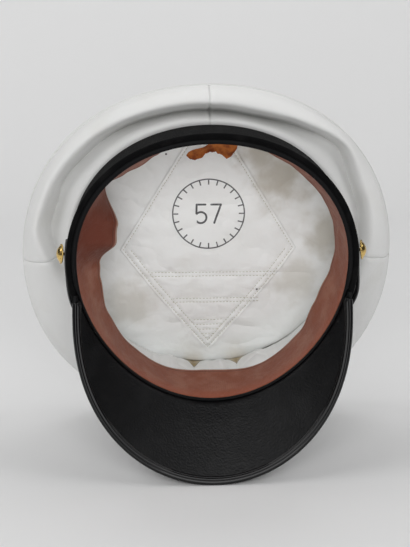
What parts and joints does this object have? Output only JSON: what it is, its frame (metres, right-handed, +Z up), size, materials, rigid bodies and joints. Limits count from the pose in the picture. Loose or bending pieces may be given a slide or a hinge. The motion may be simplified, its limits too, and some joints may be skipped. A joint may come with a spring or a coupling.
{
  "type": "peaked cap",
  "caption": "Worn white-topped peaked cap with black band, bound sloping peak, chin strap on gilt buttons, brown leather sweatband and lined crown, standing on its peak with the mouth forward.",
  "frame": {"origin": "centre of the bounding box, on the surface that the cap stands on", "axes": "+X to the wearer's right, which is the widest way; +Y from the mouth to the top of the crown; +Z up as it stands on its peak and the front of its crown, towards the back of the cap"},
  "size_m": [0.2636, 0.1372, 0.2532],
  "materials": {
    "white_cloth": "white cotton cover cloth, soft sheen, slightly greyed in the folds",
    "black_band_cloth": "black band cloth",
    "black_edge_leather": "black rolled leather edge, semi-gloss",
    "brown_leather": "reddish brown sweatband leather, creased and rubbed pale along its cut edge",
    "torn_leather": "raw orange-brown leather, torn and dry",
    "white_lining": "off-white satin lining with yellowed stains",
    "black_peak": "black fine-grained peak leather",
    "patent_leather": "glossy black patent binding",
    "black_strap": "black glossy strap leather",
    "gilt": "gilt brass, slightly tarnished"
  },
  "bodies": {
    "root": {"crown_top": "white_cloth", "crown_side_front_left": "white_cloth", "crown_side_front_right": "white_cloth", "crown_side_back_left": "white_cloth", "crown_side_back_right": "white_cloth", "crown_piping": "white_cloth", "band": "black_band_cloth", "band_welt": "black_band_cloth", "edge_binding": "black_edge_leather", "sweatband": "brown_leather", "sweatband_flap": "torn_leather", "lining_top": "white_lining", "lining_side": "white_lining", "lining_patch": "white_lining", "peak": "black_peak", "peak_binding": "patent_leather", "chin_strap": "black_strap", "button_left": "gilt", "button_right": "gilt"}
  },
  "joints": []
}
